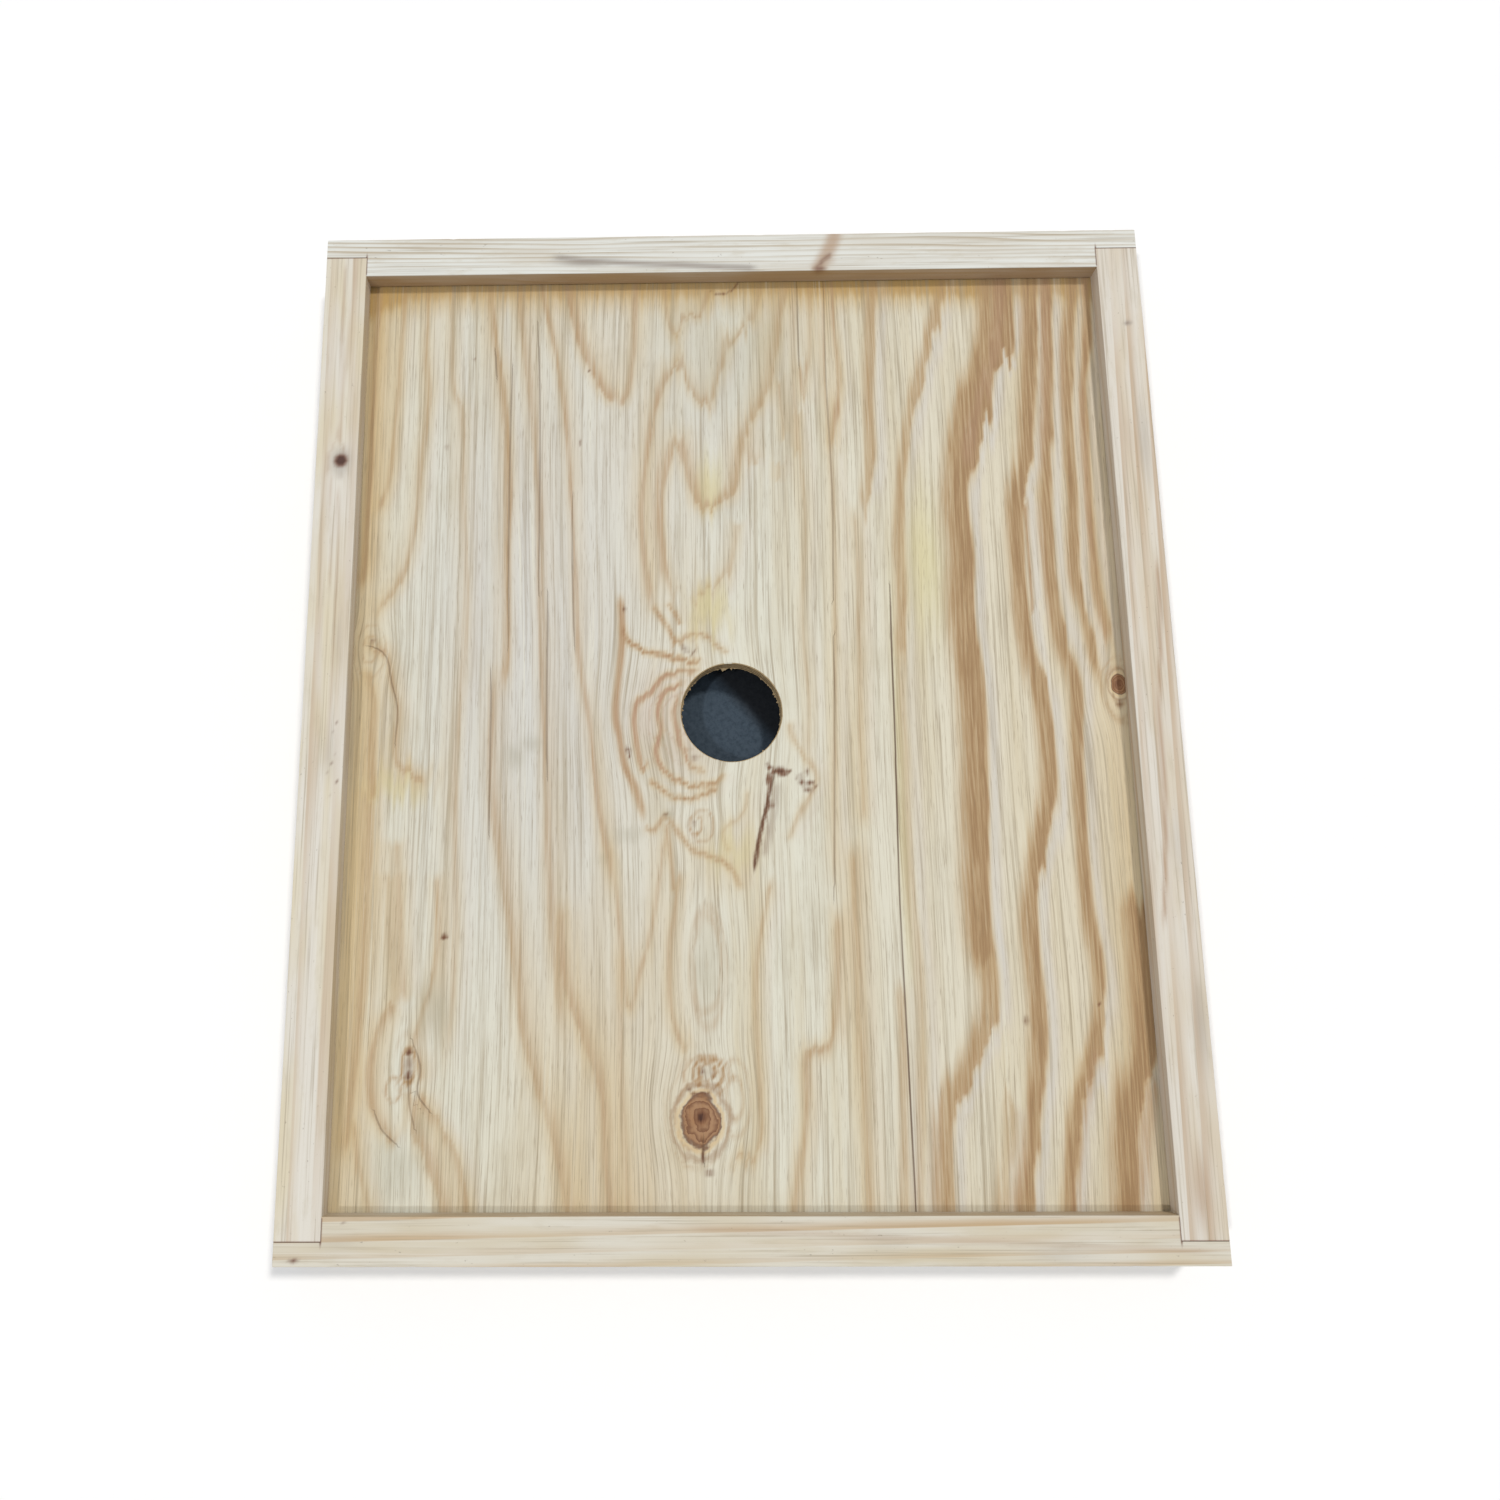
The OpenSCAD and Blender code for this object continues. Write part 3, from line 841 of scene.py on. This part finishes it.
def deck_top():
    """The top veneer: cream softwood with brown late wood, grey cast, knots and fine splits."""
    f = Finish("plywood_face")
    push = add_node(f.tree, "CombineXYZ", {0: f.field("flow") * MM})
    f.place = add_node(f.tree, "VectorMath", {0: f.place, 1: push.outputs[0]}).outputs[0]
    streak = f.noise((3.4, 230, 30), detail=4, rough=0.65)
    fine_streak = f.noise((1.3, 120, 30), detail=2, rough=0.6, offset=(5, 5, 5))
    pores = f.noise((0.8, 20, 10), detail=2, rough=0.6, offset=(7, 3, 1))
    broad = f.noise((22, 360, 60), detail=3, offset=(2, 9, 4))
    cloud = f.noise((46, 80, 60), detail=3, offset=(4, 1, 8))
    ragged = f.noise((2.0, 60, 20), detail=3, rough=0.65, offset=(1, 5, 2))
    late = f.field("late") * ragged.between(0.22, 0.78, 0.55, 1.25)
    halo = f.field("halo") * streak.between(0.2, 0.8, 0.6, 1.2)
    side = f.field("side")
    f.start((221, 219, 203))
    f.paint(side * 0.85, (219, 208, 183))
    f.paint(broad.between(0.4, 0.75) * 0.55, (205, 190, 155))
    f.paint(f.field("blush") * cloud.between(0.3, 0.6, 0.5, 0.95) * 0.55, (207, 188, 176))
    f.paint(f.field("grey") * streak.between(0.3, 0.7, 0.4, 1.0) * 0.75, (200, 200, 202))
    f.paint(cloud.between(0.52, 0.8) * 0.35, (188, 178, 150))
    f.paint(halo * 0.78, (205, 179, 130))
    # Wood tone and painted shade: the golden coat follows both, and the browner second coat falls
    # mostly on the painted shade strips along the rails, most of all at the far edge.
    f.paint(f.field("warm_tint_and_rail_shade") * 0.62, (199, 166, 100))
    f.paint(f.field("warm_tint_and_rail_shade").between(0.8, 1.4) * 0.5, (172, 134, 74))
    f.paint(streak.between(0.48, 0.72) * 0.72, (172, 159, 133))
    f.paint(fine_streak.between(0.5, 0.7) * 0.5, (150, 134, 108))
    f.paint(f.field("grey") * streak.between(0.3, 0.7, 1.0, 0.3) * 0.5, (214, 213, 208))
    f.paint(streak.between(0.24, 0.42, 1.0, 0.0) * 0.45, (232, 228, 208))
    f.paint(f.field("lemon") * 0.6, (214, 204, 146))
    f.paint(late.between(0.02, 0.9), (176, 146, 107))
    f.paint(late.between(0.6, 1.1) * 0.75, (150, 117, 80))
    f.paint(late.between(0.1, 0.8) * f.field("blush") * 0.7, (180, 142, 122))
    f.paint(pores.between(0.56, 0.78) * 0.5, (142, 124, 98))
    # Grey smudges and stains; the one near the left near corner is partly painted shadow.
    f.paint(f.field("smudge_and_shadow") * cloud.between(0.3, 0.6, 0.5, 1.0) * 0.55, (156, 150, 126))
    swirl = f.noise((9, 14, 9), detail=3, rough=0.6, offset=(3, 8, 1))
    knot = f.field("knot") + (swirl - 0.5) * 0.75
    knot_lines = (knot * 3.4 + ragged * 0.8).math("FRACT").between(0.3, 1.0)
    inside = knot.between(0.85, 1.0, 1.0, 0.0)
    f.paint(inside * 0.9, (158, 114, 76))
    f.paint(knot.peak(0.95, 1.06, 1.3) * 0.75, (214, 190, 148))
    f.paint(knot.peak(1.2, 1.42, 1.65) * 0.45, (150, 114, 80))
    f.paint(inside * knot_lines * 0.75, (104, 64, 40))
    f.paint(knot.peak(0.78, 0.92, 1.05) * 0.7, (98, 62, 40))
    dark = f.field("dark") * pores.between(0.2, 0.8, 0.7, 1.3)
    f.paint(dark.between(0.05, 0.75) * 0.95, (116, 76, 50))
    f.paint(dark.between(0.62, 1.1) * 0.85, (58, 28, 20))
    hair = f.field("hair").math("ABSOLUTE")
    split = hair.between(0.3, 1.1, 1.0, 0.0) * f.field("hair_near")
    split = split * streak.between(0.25, 0.6, 0.6, 1.0)
    f.paint(split * side.between(0.2, 0.35, 0.45, 0.9), (96, 72, 54))
    roughness = pores.between(0.3, 0.8, 0.55, 0.72)
    height = streak * 0.35 + pores * 0.5 - split * 0.8 + late * 0.2
    return f.finish(roughness, height, 0.35)


def deck_edge():
    """Sawn ply edges: seven plies, alternately long grain and end grain, with dark glue lines."""
    f = Finish("plywood_edge")
    ply = (f.z - DECK_LOW) * (1 / PLY)
    glue = (ply + 0.5).math("FRACT").math("SUBTRACT", 0.5).math("ABSOLUTE")
    turned = (ply * 0.5).math("FRACT").between(0.47, 0.53)
    f.start((200, 176, 134))
    f.paint(turned * 0.85, (152, 122, 84))
    grain = f.noise((3, 3, 0.8), detail=4, rough=0.7)
    burnt = f.noise((22, 22, 5), detail=3, offset=(3, 1, 6))
    f.paint(grain.between(0.45, 0.75) * 0.6, (120, 92, 60))
    f.paint(burnt.between(0.45, 0.7) * 0.45, (112, 86, 58))
    f.paint(glue.between(0.02, 0.09, 0.85, 0.0), (70, 52, 36))
    return f.finish(grain.between(0.3, 0.8, 0.6, 0.85), grain * 0.8 + turned * 0.4, 0.5)


def deck_under():
    """The back veneer: plainer, with patches of darker grain."""
    f = Finish("plywood_back")
    bend = f.noise((160, 420, 60), detail=2, offset=(11, 4, 2))
    rings = ((f.x * 0.028 + bend * 9.0).math("FRACT")).between(0.35, 1.0)
    streak = f.noise((2.4, 150, 20), detail=4, rough=0.6, offset=(5, 2, 1))
    pores = f.noise((0.9, 22, 10), detail=2, offset=(3, 3, 9))
    f.start((214, 196, 162))
    f.paint(rings * 0.55, (176, 142, 100))
    f.paint(streak.between(0.45, 0.75) * 0.45, (172, 148, 112))
    f.paint(pores.between(0.56, 0.8) * 0.5, (140, 116, 86))
    return f.finish(pores.between(0.3, 0.8, 0.6, 0.8), streak * 0.5 + pores * 0.5, 0.4)


def softwood(name, along, pith, spacing, tones, seed):
    """Planed pine, its grain along x or y.

    Its rings turn about a pith line outside the rail, so that they fade into end grain
    at its ends. pith is the line's place across, its height, and its slope.
    """
    pale, line, stain = tones
    f = Finish(name)
    run, across = (f.x, f.y) if along == "x" else (f.y, f.x)

    def noise(length, width, offset, height=None, **detail):
        size = (length, width) if along == "x" else (width, length)
        return f.noise((*size, height or width), offset=offset, **detail)

    drift = noise(420, 30, (seed, 2, 5), detail=2, rough=0.4)
    a = across - pith[0] + (drift - 0.5) * 16.0 + run * pith[2]
    b = f.z - pith[1]
    reach = (a * a + b * b).math("SQRT")
    phase = (reach * (1 / spacing) + drift * 1.2).math("FRACT")
    uneven = noise(252, 18, (2, seed, 3), detail=1).between(0.3, 0.75, 0.15, 1.0)
    ring_line = phase.peak(0.35, 0.93, 1.0) * uneven
    fibres = noise(130, 1.6, (seed, 7, 1), detail=3, rough=0.6)
    cloud = noise(150, 22, (1, 6, seed), height=30, detail=2)
    fleck = noise(40, 9, (seed, 4, 4), detail=4, rough=0.7)
    specks = noise(5, 2.4, (8, seed, 8), detail=2)
    f.start(pale)
    f.paint(cloud.between(0.38, 0.7) * 0.8, stain)
    f.paint(fleck.between(0.5, 0.75) * 0.4, (196, 186, 164))
    f.paint(ring_line * 0.85, line)
    f.paint(fibres.between(0.5, 0.74) * 0.55, (164, 150, 126))
    f.paint(specks.between(0.7, 0.8) * 0.5, (120, 106, 90))
    f.paint(fibres.between(0.22, 0.42, 1.0, 0.0) * 0.35, (232, 230, 222))
    f.paint(f.field("late").between(0.0, 1.0) * 0.75, (174, 144, 116))
    # Grey patches: grey weathering on the rails, and painted shadow on the near rail.
    grey = f.field("grey").between(0.0, 1.0) * cloud.between(0.2, 0.6, 0.55, 1.0)
    f.paint(grey * 0.8, (150, 142, 134))
    # Painted shade: the inner faces are browned partly for the wood's own tone and partly for
    # shade and warm bounce light in the recess.
    f.paint(f.field("inner") * cloud.between(0.3, 0.7, 0.75, 1.0), (166, 130, 82))
    dark = f.field("dark")
    f.paint(dark.between(0.05, 0.8) * 0.9, (118, 82, 66))
    f.paint(dark.between(0.55, 1.0) * 0.8, (68, 40, 34))
    height = fibres * 0.6 - ring_line * 0.3 + dark * 0.5
    return f.finish(fibres.between(0.3, 0.8, 0.5, 0.68), height, 0.22)


def zinc():
    """Bright zinc on the screws, dulled in patches."""
    f = Finish("zinc_screw")
    patch = f.noise((2.2, 2.2, 2.2), detail=3)
    scratch = f.noise((0.3, 2.5, 0.3), detail=2, offset=(4, 4, 4))
    f.start((190, 190, 186))
    f.paint(patch.between(0.4, 0.7) * 0.6, (160, 158, 146))
    f.paint(scratch.between(0.5, 0.8) * 0.4, (215, 215, 212))
    f.shader.inputs["Metallic"].default_value = 1.0
    return f.finish(patch.between(0.3, 0.7, 0.25, 0.5), scratch * 0.4 + patch * 0.3, 0.05, 0.5)


def rail_fields(piece, inner_tone_and_shade, **marks):
    """Knots, stains and marks of one rail, and how brown its inner face is painted, partly its own
    tone and partly painted shade.

    A mark is (strength, half width, half length, point) for a blot, and has more points
    for a line through them.
    """
    points = coordinates(piece)
    x, y = points[:, 0], points[:, 1]
    top = np.clip((points[:, 2] - RAIL_HEIGHT + 12) / 12, 0, 1)
    for name in ("late", "grey", "dark"):
        total = np.zeros(len(x))
        for strength, half_x, half_y, *stops in marks[name]:
            shape, place = (band, stops) if len(stops) > 1 else (spot, stops[0])
            total = np.maximum(total, strength * shape(x, y, place, half_x, half_y))
        set_field(piece, name, total * top)
    # Painted shade: the inner faces' brown stands partly for the wood's tone and partly for the
    # shade of the recess above the deck.
    inner = (np.abs(x) < INNER_X + 0.2) & (np.abs(y) < INNER_Y + 0.2)
    set_field(piece, "inner", inner_tone_and_shade * inner * (points[:, 2] < RAIL_HEIGHT - 0.8))


# ---------------------------------------------------------------- pieces

deck = make_deck()
deck_fields(deck)
deck.data.materials.clear()
for material in (deck_top(), deck_edge(), deck_under()):
    deck.data.materials.append(material)
for face in deck.data.polygons:
    face.material_index = 0 if face.normal.z > 0.8 else 2 if face.normal.z < -0.8 else 1
    from_hole = math.hypot(face.center.x / MM - HOLE[0], face.center.y / MM - HOLE[1])
    if from_hole < HOLE_RADIUS - 0.3 and face.normal.z > 0.8:
        face.material_index = 1
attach(deck, "root")
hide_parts("deck_panel")

# Each rail's mesh, grain direction, pith line, ring spacing, three tones and seed.
rails = {
    "rail_far": (
        make_end_rail("far_rail", 1, 11),
        ("pine_far", "x", (352, 14, 0.008), 4.4),
        ((224, 225, 219), (180, 164, 138), (212, 208, 197)),
        1,
    ),
    "rail_near": (
        make_end_rail("near_rail", -1, 12),
        ("pine_near", "x", (-385, -30, -0.022), 6.0),
        ((216, 211, 197), (190, 160, 120), (205, 193, 166)),
        2,
    ),
    "rail_left": (
        make_side_rail("left_rail", -1, 13),
        ("pine_left", "y", (-310, -60, 0.006), 8.5),
        ((221, 216, 205), (196, 176, 152), (215, 203, 172)),
        3,
    ),
    "rail_right": (
        make_side_rail("right_rail", 1, 14),
        ("pine_right", "y", (425, -30, -0.02), 8.0),
        ((219, 213, 202), (190, 166, 138), (210, 196, 172)),
        4,
    ),
}


def joint_lines(side):
    """Dark lines where an end rail's shoulders meet the side rails."""
    ends = side * INNER_Y, side * (SHOULDER_Y + 4)
    return [(0.8, 1.5, 1.5, *((x, y) for y in ends)) for x in (-INNER_X, INNER_X)]


def end_lines(side):
    """Dark lines where a side rail's ends meet the tongues."""
    ends = side * (INNER_X - 4), side * (HALF_WIDTH + 4)
    return [(0.8, 2.0, 2.0, *((x, y) for x in ends)) for y in (-SHOULDER_Y, SHOULDER_Y)]


mould_specks = [(0.5, 2.2, 2.4, (-350 - 3 * (k % 3), -12 - 9 * k)) for k in range(8)]
marks = {
    "rail_far": dict(
        inner_tone_and_shade=0.85,
        late=[
            (0.95, 13, 13, (80, 416), (88, 430), (96, 446), (100, 460)), (0.8, 16, 12, (90, 430)),
        ],
        grey=[
            (1.0, 60, 9, (-130, 431)),
            (1.0, 6, 6, (-172, 437), (-120, 431), (-60, 427), (30, 422)), (0.9, 60, 7, (-60, 427)),
            (0.4, 60, 4, (-290, 424)),
        ],
        dark=[
            (0.3, 3, 3, (-165, 435), (-110, 430), (-60, 427), (0, 423)),
            (0.55, 5, 5, (80, 418), (88, 430), (97, 436)), (0.7, 12, 5, (84, 421)),
            (0.5, 6, 7, (93, 434)), *joint_lines(1),
        ],
    ),
    "rail_near": dict(
        inner_tone_and_shade=0.4,
        late=[(0.5, 5, 5, (-60, -428), (60, -433), (220, -440), (381, -447))],
        grey=[
            # Painted shadow: these three faint grey patches along the near rail stand for a shadow
            # cast from outside the board, not a stain.
            (0.3, 40, 14, (-330, -440)), (0.25, 40, 22, (110, -438)), (0.4, 60, 12, (250, -448)),
        ],
        dark=[(0.9, 8, 3.5, (-364, -453)), (0.8, 4, 2, (-324, -423)), *joint_lines(-1)],
    ),
    "rail_left": dict(
        inner_tone_and_shade=0.3,
        late=[
            (0.6, 3.5, 3.5, (-364, 438), (-361, 330), (-359, 252), (-347, 233)),
            (0.45, 3, 3, (-353, 438), (-357, 330), (-362, 262), (-370, 233), (-366, 205),
             (-362, 100)),
            (0.5, 4, 4, (-359, 214), (-356, 100), (-358, -60)),
            (0.4, 3, 3, (-370, 300), (-373, 180), (-368, 40), (-364, -120)),
        ],
        grey=[
            (0.8, 18, 26, (-358, 232)), (0.35, 14, 50, (-355, -40)), (0.3, 10, 60, (-352, 60)),
        ],
        dark=[
            *end_lines(-1), (1.3, 10.5, 10.5, (-358, 233)),
            (0.25, 8, 10, (-358, 218)), (0.9, 2.5, 2.5, (-347, -65)), (0.6, 2.2, 3, (-352, -48)),
            (0.5, 2.2, 3, (-366, -34)), (0.3, 1.6, 9, (-349, 326)), *mould_specks,
        ],
    ),
    "rail_right": dict(
        inner_tone_and_shade=0.25,
        late=[
            (0.9, 3.5, 3.5, (374, 140), (370, 60), (364, 0), (361, -90), (350, -200)),
            (0.4, 10, 60, (358, 250)), (0.7, 12, 60, (362, -400)),
        ],
        grey=[
            (0.9, 7, 6, (367, 361)), (0.5, 10, 90, (372, 240)), (0.5, 12, 80, (374, -270)),
            (0.35, 14, 60, (368, -120)),
        ],
        dark=[*end_lines(1), (0.35, 6, 4, (366, 361))],
    ),
}
for node, (piece, grain, tones, seed) in rails.items():
    rail_fields(piece, **marks[node])
    piece.data.materials.clear()
    piece.data.materials.append(softwood(*grain, tones, seed))
    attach(piece, "root")
    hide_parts(node)

screw_finish = zinc()
for name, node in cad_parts.items():
    if name.startswith("screw"):
        for slot in node.material_slots:
            slot.material = screw_finish

# ---------------------------------------------------------------- stage and light


def stage_plane(name, half_x, half_y, height, material):
    corners = ((-1, -1), (1, -1), (1, 1), (-1, 1))
    points = [(a * half_x, b * half_y, height) for a, b in corners]
    piece = new_object(name, points, [(0, 1, 2, 3)])
    piece.data.materials.append(material)
    return piece


def pale_floor():
    f = Finish("pale_floor")
    haze = f.noise((400, 400, 400), detail=2)
    f.start((253, 253, 253))
    f.paint(haze.between(0.4, 0.7) * 0.15, (248, 248, 250))
    return f.finish(haze.between(0.3, 0.7, 0.8, 0.9), haze, 0.01)


# The dark ground the board stands on, laid only under the board.
def dark_ground_and_shade():
    f = Finish("dark_ground_and_shade")
    weave = f.noise((5, 5, 5), detail=4, rough=0.7)
    f.start((66, 80, 93))
    f.paint(weave.between(0.4, 0.7) * 0.6, (48, 60, 71))
    # Painted shade: the ground turns near-black towards the upper right, where the side lamp would
    # otherwise light it through the hole.
    f.paint((f.x * 0.75 + f.y * 0.66).between(6, 24) * 0.92, (20, 22, 26))
    return f.finish(weave.between(0.3, 0.7, 0.7, 0.9), weave, 0.5)


stage_plane("floor", 60000, 60000, -0.5, pale_floor())
stage_plane("ground_under_board", 338, 414, -0.2, dark_ground_and_shade())

world = bpy.data.worlds.new("studio")
world.use_nodes = True
world.node_tree.nodes["Background"].inputs["Color"].default_value = (0.97, 0.98, 1.0, 1.0)
world.node_tree.nodes["Background"].inputs["Strength"].default_value = 0.5
bpy.context.scene.world = world


def sun(name, heading, strength, colour, width):
    """A distant lamp. heading is the way its light travels."""
    data = bpy.data.lights.new(name, "SUN")
    data.energy = strength
    data.color = colour
    data.angle = math.radians(width)
    lamp = bpy.data.objects.new(name, data)
    lamp.rotation_mode = "QUATERNION"
    lamp.rotation_quaternion = Vector(heading).to_track_quat("-Z", "Y")
    bpy.context.scene.collection.objects.link(lamp)


sun("key_lamp", (-0.34, -0.34, -1.0), 1.22, (1.0, 0.975, 0.93), 6)
sun("side_lamp", (0.47, 0.26, -1.0), 0.72, (0.97, 0.98, 1.0), 3)
